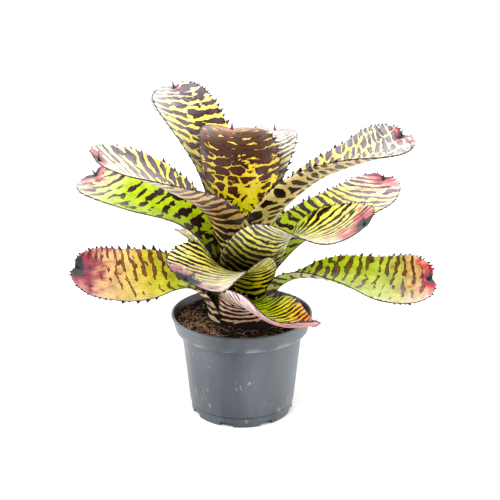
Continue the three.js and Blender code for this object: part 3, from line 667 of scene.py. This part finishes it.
def paint(mesh, name, blade, t, x, u):
    """Gives each point of the blade its colours and band style for both faces."""
    look = LOOKS[name]
    patch_name, patch_size, slate_size, spread = (*look["tip"], 0.8)[:4]
    patch = np.array(linear(PAINTS[patch_name])[:3])
    slate = np.array(linear(PAINTS["slate"])[:3])
    blush = np.array(linear(PAINTS["blush"])[:3])
    gap = (1 - t) * blade.length
    seed = list(LOOKS).index(name) * 13.7
    wobble = np.array([noise.noise(Vector((a * 0.14, b * 0.14, seed))) for a, b in zip(x, gap)])
    ragged = wobble + 0.6 * np.array([noise.noise(Vector((a * 0.5, b * 0.5, seed))) for a, b in zip(x, gap)])
    reach = np.hypot(x * spread, gap) * (1 + 0.8 * ragged)
    near = np.clip(1 - (reach - slate_size) / (patch_size - slate_size + 1e-6), 0, 1)
    near = near * near * (3 - 2 * near)
    apex = np.clip((slate_size + 1.0 - np.hypot(x * 1.25, gap) * (1 + 0.7 * ragged)) / 1.8, 0, 1)
    edge = np.clip((np.abs(u) - 0.84) / 0.16, 0, 1)
    rim = edge * np.clip((t - 0.72) / 0.2, 0, 1) * look.get("rim", 1)
    # Paler towards both margins. Part of this is the silvery scales, heavier on the lower face. Part is a painted
    # highlight, where the curving blade reflects the white surroundings.
    scales_and_highlight = np.clip((np.abs(u) - 0.6) / 0.4, 0, 1) * np.clip((t - 0.16) / 0.2, 0, 1) * (0.6 + wobble)
    for face in ("upper", "lower"):
        grounds, marks, cover, cells, bloom = look[face]
        ground = ramp(paint_values(grounds), t)
        mark = ramp(paint_values(marks), t)
        ground = ground * (1 - near[:, None]) + patch * near[:, None]
        mark = mark * (1 - 0.45 * near[:, None]) + patch * 0.45 * near[:, None]
        ground = ground * (1 - 0.35 * rim[:, None]) + blush * 0.35 * rim[:, None]
        ground = ground * (1 - apex[:, None]) + slate * apex[:, None]
        mark = mark * (1 - apex[:, None]) + slate * 0.55 * apex[:, None]
        # Painted shade: the ground darkens to 0.7 of its colour at the foot, down in the shaded tank.
        ground = ground * (0.7 + 0.3 * np.clip(t / 0.22, 0, 1))[:, None]
        cover = ramp(cover, t) - 0.16 * near + look["lean"] * u * np.clip(t / 0.4, 0, 1)
        pale = ramp(bloom, t) + (0.26 if face == "lower" else 0.16) * scales_and_highlight
        # Painted highlight: shine lays more pale bloom towards one margin of the upper face, the side that catches
        # the light.
        if face == "upper":
            pale = pale + look["shine"] * u * np.clip((t - 0.25) / 0.3, 0, 1)
        layers = {
            face + "_ground": np.c_[ground, np.ones(len(t))],
            face + "_mark": np.c_[mark, np.ones(len(t))],
            face + "_style": np.c_[np.clip(cover, 0, 1.2), ramp(cells, t), np.clip(pale * (1 - 0.8 * near), 0, 1),
                                   np.ones(len(t))],
        }
        for key, values in layers.items():
            layer = mesh.attributes.new(key, "FLOAT_COLOR", "POINT")
            layer.data.foreach_set("color", values.astype(np.float32).ravel())
    bands = band_places(blade, look, t, x, u)
    for key, values in (("blade_mm", t * blade.length), ("blade_bands", bands)):
        layer = mesh.attributes.new(key, "FLOAT_VECTOR", "POINT")
        layer.data.foreach_set("vector", np.c_[x, values, np.full(len(t), seed)].astype(np.float32).ravel())


def blade_piece(name, blade):
    """The blade: a fine grid laid on the leaf's surface, then given its thickness."""
    sizes = settings().leaves
    rows = math.ceil(blade.length * (1 + blade.below) / sizes.step_along / 1000)
    deselect()
    bpy.ops.mesh.primitive_grid_add(x_subdivisions=sizes.strips, y_subdivisions=rows, size=2)
    piece = named(name + "_blade")
    mesh = piece.data
    flat = np.empty(len(mesh.vertices) * 3)
    mesh.vertices.foreach_get("co", flat)
    flat = flat.reshape(-1, 3)
    u = flat[:, 0]
    share = (flat[:, 1] + 1) / 2
    t = -blade.below + share * (1 + blade.below)
    # Rows crowd together towards the tip, where the outline turns fastest.
    t = np.where(t > 0.8, 0.8 + 0.2 * np.sin((t - 0.8) / 0.2 * math.pi / 2), t)
    t = np.minimum(t, 0.9997)
    seed = list(LOOKS).index(name) * 7.3
    places, across = [], []
    for a, b in zip(t, u):
        wave = sizes.unevenness * 1000 * noise.noise(Vector((a * blade.length / 22, b * 1.6, seed)))
        wave *= smooth(a, 0.25, 0.6) * (1 - smooth(a, 0.93, 1.0))
        place, _, x = blade.point(a, b, wave)
        places.append(place * MM)
        across.append(x)
    mesh.vertices.foreach_set("co", np.array(places).ravel())
    paint(mesh, name, blade, t, np.array(across), u)
    mesh.update()
    # The grid's faces must look towards the upper side of the leaf.
    face = mesh.polygons[len(mesh.polygons) // 2]
    centre = sum((Vector(places[v]) for v in face.vertices), Vector()) / len(face.vertices)
    _, normal, _ = blade.point(float(np.mean(t[list(face.vertices)])), float(np.mean(u[list(face.vertices)])))
    if face.normal.dot(normal) < 0:
        deselect()
        piece.select_set(True)
        bpy.context.view_layer.objects.active = piece
        bpy.ops.object.mode_set(mode="EDIT")
        bpy.ops.mesh.select_all(action="SELECT")
        bpy.ops.mesh.flip_normals()
        bpy.ops.object.mode_set(mode="OBJECT")
    for material in ("waxy_leaf_upper", "waxy_leaf_lower", "leaf_edge"):
        mesh.materials.append(bpy.data.materials[material])
    apply_modifier(piece, "SOLIDIFY", thickness=sizes.thickness, offset=0.0,
                   material_offset=1, material_offset_rim=2)
    deselect()
    piece.select_set(True)
    bpy.ops.object.shade_smooth()
    return piece


def spine_template():
    """One hooked spine, one unit long, up along Z and leaning towards Y, wide along Y and thin along X."""
    deselect()
    bpy.ops.mesh.primitive_circle_add(vertices=6, radius=0.5, fill_type="NOTHING")
    spine = named("spine")
    seat(spine)
    bpy.ops.object.mode_set(mode="EDIT")
    bpy.ops.mesh.select_all(action="SELECT")
    for rise, lean, size in ((0.2, 0.02, 0.74), (0.3, 0.1, 0.62), (0.3, 0.16, 0.45)):
        bpy.ops.mesh.extrude_region_move(TRANSFORM_OT_translate={"value": (0, lean, rise)})
        bpy.ops.transform.resize(value=(size, size, 1.0))
    bpy.ops.mesh.extrude_region_move(TRANSFORM_OT_translate={"value": (0, 0.12, 0.15)})
    bpy.ops.mesh.merge(type="CENTER")
    bpy.ops.object.mode_set(mode="OBJECT")
    return spine


def spine_places(name, blade):
    """Where the spines stand: far apart and long by the middle of the leaf, crowded and short at its tip."""
    sizes = settings().leaves
    number = list(LOOKS).index(name)
    scale = min(1.0, blade.length / USUAL_LENGTH)
    places = []
    for side in (-1.0, 1.0):
        walked = 0.0
        wanted = (PLAIN_FOOT * 0.8 + 4 * noise.noise(Vector((number, side, 0.3)))) * scale
        previous, _, _ = blade.point(0, side)
        t, step = 0.0, 1 / 1600
        while t < 0.996:
            t += step
            place, normal, _ = blade.point(t, side)
            walked += (place - previous).length
            previous = place
            if walked < wanted:
                continue
            walked = 0.0
            crowd = smooth(t, 0.6, 0.97)
            chance = noise.cell(Vector((number * 3.1, t * 977, side)))
            wanted = ((1 - crowd) * sizes.spine_gap + crowd * sizes.spine_gap * 0.42) * 1000
            wanted *= (0.8 + 0.45 * chance) * max(scale, 0.6)
            reach = sizes.spine_length * 1000 * ((1 - crowd) + crowd * 0.66) * (0.75 + 0.5 * chance)
            reach *= (0.55 + 0.45 * smooth(t, 0.1, 0.35)) * max(scale, 0.6)
            after, _, _ = blade.point(min(t + 0.004, 1), side)
            before, _, _ = blade.point(t - 0.004, side)
            forward = (after - before).normalized()
            inward, _, _ = blade.point(t, side * 0.9)
            outward = (place - inward)
            outward = (outward - forward * outward.dot(forward)).normalized()
            thin = outward.cross(forward)
            base = place - outward * 0.35
            width = reach * 0.62
            columns = [thin * 1.0, forward * width * 1.6, outward * reach]
            matrix = Matrix([[columns[c][r] * MM for c in range(3)] + [base[r] * MM] for r in range(3)]
                            + [[0, 0, 0, 1]])
            places.append(matrix)
    return places


def thorn_piece(name, blade):
    """The stiff point at the leaf's tip: a bent cone rooted in the gathered end of the blade."""
    sizes = settings().leaves
    scale = min(1.0, blade.length / USUAL_LENGTH)
    _, ahead, side, upper = blade.frame(1.0)
    root, _, _ = blade.point(0.985, 0.0)
    lift = blade.leaf.get("thorn_lift", 0.55)
    deselect()
    bpy.ops.mesh.primitive_circle_add(vertices=10, radius=1.0, fill_type="NGON")
    thorn = named(name + "_thorn")
    bpy.ops.object.mode_set(mode="EDIT")
    bpy.ops.mesh.select_all(action="SELECT")
    for size in (0.8, 0.72, 0.7, 0.66, 0.6, 0.4):
        bpy.ops.mesh.extrude_region_move(TRANSFORM_OT_translate={"value": (0, 0, 1.0)})
        bpy.ops.transform.resize(value=(size, size, 1.0))
    bpy.ops.object.mode_set(mode="OBJECT")
    length = sizes.thorn_length * 1000 * scale
    for vertex in thorn.data.vertices:
        share = vertex.co.z / 6
        bend = (lift + 0.35 * share)
        axis = (ahead * math.cos(bend) + upper * math.sin(bend)).normalized()
        out = side * vertex.co.x * 1.9 * scale + axis.cross(side) * vertex.co.y * -1.3 * scale
        start = root - ahead * 1.6 * scale
        vertex.co = (start + axis * (share * length) + out) * MM
    thorn.data.materials.append(bpy.data.materials["thorn_horn"])
    bpy.ops.object.shade_smooth()
    return thorn


def body_inner(z):
    """Inner radius of the pot's body at a height."""
    share = (z - FOOT_TOP) / (COLLAR_BOTTOM - FOOT_TOP)
    return BODY_FOOT_RADIUS + (BODY_TOP_RADIUS - BODY_FOOT_RADIUS) * share - POT_WALL


def pot_piece():
    """The pot: a turned shell with rounded edges, then notches in its foot and holes in its floor."""
    sizes = settings().pot
    rim, top = sizes.rim_radius * 1000, sizes.height * 1000
    pot = turned("nursery_pot", [
        (0, 0.4), (FOOT_PAD, 0.4), (FOOT_PAD + 1, FLOOR_UNDER), (FOOT_RADIUS - FOOT_RING_WIDTH, FLOOR_UNDER),
        (FOOT_RADIUS - FOOT_RING_WIDTH + 0.2, 0), (FOOT_RADIUS - 0.3, 0), (FOOT_RADIUS, 0.6),
        (FOOT_RADIUS + 0.5, FOOT_TOP - GROOVE), (FOOT_RADIUS - 0.4, FOOT_TOP - GROOVE + 0.1),
        (FOOT_RADIUS - 0.4, FOOT_TOP - 0.1), (BODY_FOOT_RADIUS, FOOT_TOP),
        (BODY_TOP_RADIUS, COLLAR_BOTTOM - 0.3), (COLLAR_RADIUS - 0.5, COLLAR_BOTTOM - 0.2),
        (COLLAR_RADIUS, COLLAR_BOTTOM + 0.5), (rim - 0.8, top - 2), (rim, top - 1.2), (rim - 0.3, top),
        (rim - 2.1, top), (COLLAR_RADIUS - POT_WALL, COLLAR_BOTTOM + POT_WALL + 0.4),
        (body_inner(COLLAR_BOTTOM) - 0.2, COLLAR_BOTTOM + 0.4), (body_inner(FLOOR_TOP), FLOOR_TOP),
        (0, FLOOR_TOP)], sizes.facets)
    for i in range(FOOT_NOTCHES):
        direction = math.radians(NOTCH_FIRST + i * 360 / FOOT_NOTCHES)
        out = Vector((math.cos(direction), math.sin(direction), 0))
        deselect()
        bpy.ops.mesh.primitive_cube_add(size=1, location=out * ((FOOT_RADIUS + 2) * MM),
                                        rotation=(0, 0, direction))
        notch = named("notch")
        notch.scale = (14 * MM, NOTCH_WIDTH * MM, 2 * NOTCH_HEIGHT * MM)
        seat(notch)
        bpy.ops.mesh.primitive_cylinder_add(vertices=28, radius=DRAIN_RADIUS * MM, depth=8 * MM,
                                            location=out * (DRAIN_CIRCLE * MM) + Vector((0, 0, FLOOR_TOP * MM)))
        drain = named("drain")
        seat(drain)
        for cutter in (notch, drain):
            apply_modifier(pot, "BOOLEAN", object=cutter, operation="DIFFERENCE", solver="EXACT")
            bpy.data.objects.remove(cutter, do_unlink=True)
    apply_modifier(pot, "BEVEL", width=0.35 * MM, segments=3, limit_method="ANGLE",
                   angle_limit=math.radians(28), use_clamp_overlap=True, harden_normals=False)
    deselect()
    pot.select_set(True)
    bpy.context.view_layer.objects.active = pot
    bpy.ops.object.shade_smooth_by_angle(angle=math.radians(30))
    return pot


def soil_height(x, y):
    """Height of the potting mix in millimetres, with its soft heaps."""
    share = min(max((math.hypot(x, y) - SOIL_HOLE) / (COLLAR_RADIUS - SOIL_HOLE), 0), 1)
    heap = noise.fractal(Vector((x * 0.11, y * 0.11, 4.0)), 0.7, 2.1, 4)
    return SOIL_MIDDLE + (SOIL_EDGE - SOIL_MIDDLE) * share + 0.9 * heap


def soil_piece():
    """The bed of potting mix, which fills the pot round the stem."""
    outer = COLLAR_RADIUS - POT_WALL + 0.5
    wall = body_inner(COLLAR_BOTTOM) - 0.6
    rows = 26
    surface = [(outer + (SOIL_HOLE - outer) * k / rows, SOIL_MIDDLE) for k in range(rows + 1)]
    bed = turned("potting_mix", [
        (9.3, SOIL_FLOOR), (0, SOIL_FLOOR), (0, FLOOR_TOP + 0.3), (body_inner(FLOOR_TOP) - 0.5, FLOOR_TOP + 0.3),
        (wall, COLLAR_BOTTOM + 0.4), (wall, COLLAR_BOTTOM + 0.8),
        (outer - 1.1, COLLAR_BOTTOM + POT_WALL + 0.9)] + surface
        + [(SOIL_HOLE, 75.3), (13.3, 75.3), (9.3, SOIL_FLOOR)], 160)
    for vertex in bed.data.vertices:
        x, y, z = vertex.co / MM
        if z > SOIL_MIDDLE - 0.01:
            vertex.co.z = soil_height(x, y) * MM
    deselect()
    bed.select_set(True)
    bpy.context.view_layer.objects.active = bed
    bpy.ops.object.shade_smooth_by_angle(angle=math.radians(50))
    return bed


def mix_places(count, least, most, seed):
    """Places on the potting mix with a random turn and size, spread evenly round the stem."""
    chance = np.random.default_rng(seed)
    places = []
    while len(places) < count:
        angle = chance.uniform(-math.pi, math.pi)
        radius = math.sqrt(chance.uniform(33.0 ** 2, (COLLAR_RADIUS - POT_WALL - 1) ** 2))
        x, y = radius * math.cos(angle), radius * math.sin(angle)
        sizes = chance.uniform(least, most, 3)
        turn = Matrix.Rotation(chance.uniform(0, 6.28), 4, "Z") @ Matrix.Rotation(chance.uniform(-0.7, 0.7), 4, "X")
        place = Matrix.Translation(Vector((x, y, soil_height(x, y) + sizes[2] * 0.15)) * MM)
        places.append(place @ turn @ Matrix.Diagonal((*(sizes * MM), 1)))
    return places


def crumbs_piece():
    """Bark crumbs: rough lumps of one to four millimetres."""
    deselect()
    bpy.ops.mesh.primitive_ico_sphere_add(subdivisions=2, radius=0.5)
    crumb = named("crumb")
    for vertex in crumb.data.vertices:
        vertex.co *= 1 + 0.45 * noise.noise(vertex.co * 3.1)
    return copies("bark_crumbs", crumb, mix_places(settings().mix.crumbs, 0.9, 3.4, 3))


def fibres_piece():
    """Coir fibres: thin bent strands that lie over the mix and stick up a little."""
    chance = np.random.default_rng(11)
    curve = bpy.data.curves.new("coir_fibres", "CURVE")
    curve.dimensions = "3D"
    curve.bevel_depth = 0.14 * MM
    curve.bevel_resolution = 0
    curve.use_fill_caps = True
    for _ in range(settings().mix.fibres):
        left = chance.uniform() < 0.7
        angle = chance.normal(math.radians(195), 0.6) if left else chance.uniform(-math.pi, math.pi)
        radius = math.sqrt(chance.uniform(33.5 ** 2, (COLLAR_RADIUS - POT_WALL - 1.5) ** 2))
        x, y = radius * math.cos(angle), radius * math.sin(angle)
        heading, bend = chance.uniform(0, 2 * math.pi), chance.normal(0, 0.28)
        stride, lift = chance.uniform(1.0, 2.4), chance.uniform(0.4, 2.6)
        points = []
        for k in range(7):
            if math.hypot(x, y) > COLLAR_RADIUS - POT_WALL - 0.6:
                break
            points.append((x, y, soil_height(x, y) + 0.15 + lift * math.sin(math.pi * (k + 0.3) / 6.6)))
            heading += bend
            x, y = x + stride * math.cos(heading), y + stride * math.sin(heading)
        if len(points) < 3:
            continue
        spline = curve.splines.new("POLY")
        spline.points.add(len(points) - 1)
        for point, (a, b, c) in zip(spline.points, points):
            point.co = (a * MM, b * MM, c * MM, 1)
            point.radius = chance.uniform(0.7, 1.5)
    fibres = bpy.data.objects.new("coir_fibres", curve)
    bpy.context.collection.objects.link(fibres)
    deselect()
    fibres.select_set(True)
    bpy.context.view_layer.objects.active = fibres
    bpy.ops.object.convert(target="MESH")
    return bpy.context.object


class LeafSettings(PropertyGroup):
    thickness: FloatProperty(name="Thickness", description="Thickness of a blade", default=0.0009,
                             min=0.0006, max=0.003, unit="LENGTH", precision=5)
    step_along: FloatProperty(name="Step", description="Spacing of a blade's rows of points", default=0.0014,
                              min=0.0005, max=0.01, unit="LENGTH", precision=5)
    strips: IntProperty(name="Strips", description="Faces across a blade", default=34, min=8, max=80)
    unevenness: FloatProperty(name="Unevenness", description="Height of a blade's soft waves", default=0.0009,
                              min=0.0, max=0.004, unit="LENGTH", precision=5)
    spine_length: FloatProperty(name="Spine length", description="Length of a spine by the middle of a leaf",
                                default=0.0042, min=0.001, max=0.008, unit="LENGTH", precision=5)
    spine_gap: FloatProperty(name="Spine spacing", description="Spacing of the spines by the middle of a leaf",
                             default=0.0066, min=0.002, max=0.02, unit="LENGTH", precision=5)
    thorn_length: FloatProperty(name="Thorn length", description="Length of the point at a leaf's tip",
                                default=0.0085, min=0.002, max=0.02, unit="LENGTH", precision=5)
    spine_colour: FloatVectorProperty(name="Spine colour", description="Colour of the spines and thorns",
                                      subtype="COLOR", size=3, default=linear("#241618")[:3], min=0, max=1)


class PotSettings(PropertyGroup):
    plastic: FloatVectorProperty(name="Plastic", description="Colour of the pot", subtype="COLOR", size=3,
                                 default=linear("#393d46")[:3], min=0, max=1)
    rim_radius: FloatProperty(name="Rim radius", description="Outer radius of the pot's rim",
                              default=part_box("pot")[1][0], min=0.02, max=0.2, unit="LENGTH", precision=4)
    height: FloatProperty(name="Height", description="Height of the pot", default=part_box("pot")[1][2],
                          min=0.02, max=0.3, unit="LENGTH", precision=4)
    facets: IntProperty(name="Facets", description="Steps round the pot", default=144, min=24, max=256)


class MixSettings(PropertyGroup):
    peat: FloatVectorProperty(name="Peat", description="Colour of the potting mix", subtype="COLOR", size=3,
                              default=linear("#0e0907")[:3], min=0, max=1)
    fibre: FloatVectorProperty(name="Fibre", description="Colour of the coir fibres", subtype="COLOR", size=3,
                               default=linear("#f4dcb4")[:3], min=0, max=1)
    crumbs: IntProperty(name="Crumbs", description="Number of bark crumbs", default=520, min=0, max=2000)
    fibres: IntProperty(name="Fibres", description="Number of coir fibres", default=260, min=0, max=2000)


class StageSettings(PropertyGroup):
    floor: FloatVectorProperty(name="Floor", description="Colour of the floor", subtype="COLOR", size=3,
                               default=linear("#f2f2f2")[:3], min=0, max=1)
    sky: FloatProperty(name="Sky", description="Strength of the light from all round", default=0.8,
                       min=0, max=5)
    key: FloatProperty(name="Key light", description="Power of the main soft light", default=9.0,
                       min=0, max=100, unit="POWER")


class PlantSettings(PropertyGroup):
    leaves: PointerProperty(type=LeafSettings)
    pot: PointerProperty(type=PotSettings)
    mix: PointerProperty(type=MixSettings)
    stage: PointerProperty(type=StageSettings)


class NEOREGELIA_OT_leaves(Operator):
    """Make every leaf with its spines and thorn"""
    bl_idname = "neoregelia.leaves"
    bl_label = "Leaves"

    def execute(self, context):
        blade_material("upper")
        blade_material("lower")
        horn_material("leaf_edge", "#2c1a1a", "#6a5048")
        horn_material("spine_horn", "#120a0a", "#281a1a")
        horn_material("thorn_horn", "#0a0e10", "#2a3638")
        for name, leaf in LEAVES.items():
            blade = Blade(leaf)
            piece = blade_piece(name, blade)
            spines = copies(name + "_spines", spine_template(), spine_places(name, blade))
            spines.data.materials.append(bpy.data.materials["spine_horn"])
            thorn = thorn_piece(name, blade)
            piece = join([piece, spines, thorn])
            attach(piece, "root")
            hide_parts(name)
        return {"FINISHED"}


class NEOREGELIA_OT_pot(Operator):
    """Make the nursery pot"""
    bl_idname = "neoregelia.pot"
    bl_label = "Pot"

    def execute(self, context):
        pot = pot_piece()
        pot.data.materials.append(pot_material())
        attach(pot, "root")
        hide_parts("pot")
        return {"FINISHED"}


class NEOREGELIA_OT_mix(Operator):
    """Make the potting mix and the stem"""
    bl_idname = "neoregelia.mix"
    bl_label = "Potting mix"

    def execute(self, context):
        mix = settings().mix
        bed, crumbs, fibres = soil_piece(), crumbs_piece(), fibres_piece()
        peat = mix_material("peat", tuple(mix.peat) + (1,), linear("#21150f"), 520.0, 0.9)
        bed.data.materials.append(peat)
        crumbs.data.materials.append(mix_material("bark", linear("#070403"), linear("#3a261a"), 300.0, 0.8))
        fibres.data.materials.append(mix_material("coir", linear("#8a6240"), tuple(mix.fibre) + (1,), 240.0, 0.7))
        piece = join([bed, crumbs, fibres])
        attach(piece, "root")
        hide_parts("soil")
        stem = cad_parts["stem"]
        stem.data.materials.clear()
        stem.data.materials.append(peat)
        return {"FINISHED"}


class NEOREGELIA_OT_stage(Operator):
    """Set the floor, the lights and the camera"""
    bl_idname = "neoregelia.stage"
    bl_label = "Stage"

    def execute(self, context):
        stage = settings().stage
        deselect()
        bpy.ops.mesh.primitive_grid_add(x_subdivisions=8, y_subdivisions=8, size=2.6)
        floor = named("floor")
        floor.location.z = -0.0004
        seat(floor)
        material, tree = new_material("white_paper_floor")
        finish_material(tree, add(tree, "ShaderNodeBsdfPrincipled", inputs={
            "Base Color": tuple(stage.floor) + (1,), "Roughness": 0.9}))
        floor.data.materials.append(material)

        world = bpy.data.worlds.new("studio")
        context.scene.world = world
        world.use_nodes = True
        tree = world.node_tree
        tree.nodes.clear()
        seen = add(tree, "ShaderNodeLightPath", out="Is Camera Ray")
        strength = add(tree, "ShaderNodeMix", {"data_type": "FLOAT"}, {0: seen, 2: stage.sky, 3: 1.0})
        background = add(tree, "ShaderNodeBackground", inputs={"Color": (1, 1, 1, 1), "Strength": strength})
        add(tree, "ShaderNodeOutputWorld", inputs={"Surface": background})

        for name, place, size, power in (
                ("key", (-0.7, -0.9, 1.5), 1.0, stage.key * 2.3),
                ("fill", (1.3, -0.7, 0.9), 1.2, stage.key),
                ("left", (-1.2, 0.15, 0.3), 0.9, stage.key * 0.9),
                ("right", (1.2, 0.15, 0.3), 0.9, stage.key * 0.7),
                ("back", (0.3, 1.3, 1.1), 1.2, stage.key * 1.3)):
            light = bpy.data.lights.new(name, "AREA")
            light.size = size
            light.energy = power
            lamp = bpy.data.objects.new(name, light)
            context.collection.objects.link(lamp)
            lamp.location = place
            lamp.rotation_euler = (Vector((0, 0, 0.14)) - Vector(place)).to_track_quat("-Z", "Y").to_euler()

        data = bpy.data.cameras.new("camera")
        camera = bpy.data.objects.new("camera", data)
        context.collection.objects.link(camera)
        camera.location = (0.007, -0.700, 0.366)
        camera.rotation_euler = (math.radians(90 - 17.78), 0, 0)
        data.sensor_fit = "HORIZONTAL"
        data.sensor_width = 36.0
        data.lens = 36.0 * 883.0 / 500.0
        data.clip_start = 0.01
        context.scene.camera = camera
        context.scene.view_settings.view_transform = "Standard"
        context.scene.view_settings.look = "Medium High Contrast"
        return {"FINISHED"}


class NEOREGELIA_PT_panel(Panel):
    """Lists the makers of each piece, with their settings"""
    bl_idname = "NEOREGELIA_PT_panel"
    bl_label = "Neoregelia"
    bl_space_type = "VIEW_3D"
    bl_region_type = "UI"
    bl_category = "Neoregelia"

    def draw(self, context):
        plant = context.scene.neoregelia
        for operator, group in (("neoregelia.pot", plant.pot), ("neoregelia.mix", plant.mix),
                                ("neoregelia.leaves", plant.leaves), ("neoregelia.stage", plant.stage)):
            box = self.layout.box()
            box.operator(operator)
            for key in group.__annotations__:
                box.prop(group, key)


CLASSES = (LeafSettings, PotSettings, MixSettings, StageSettings, PlantSettings, NEOREGELIA_OT_pot,
           NEOREGELIA_OT_mix, NEOREGELIA_OT_leaves, NEOREGELIA_OT_stage, NEOREGELIA_PT_panel)


def register():
    for item in CLASSES:
        bpy.utils.register_class(item)
    bpy.types.Scene.neoregelia = PointerProperty(type=PlantSettings)


def unregister():
    del bpy.types.Scene.neoregelia
    for item in reversed(CLASSES):
        bpy.utils.unregister_class(item)


def main():
    register()
    bpy.ops.neoregelia.pot()
    bpy.ops.neoregelia.mix()
    bpy.ops.neoregelia.leaves()
    bpy.ops.neoregelia.stage()


if __name__ == "__main__":
    main()
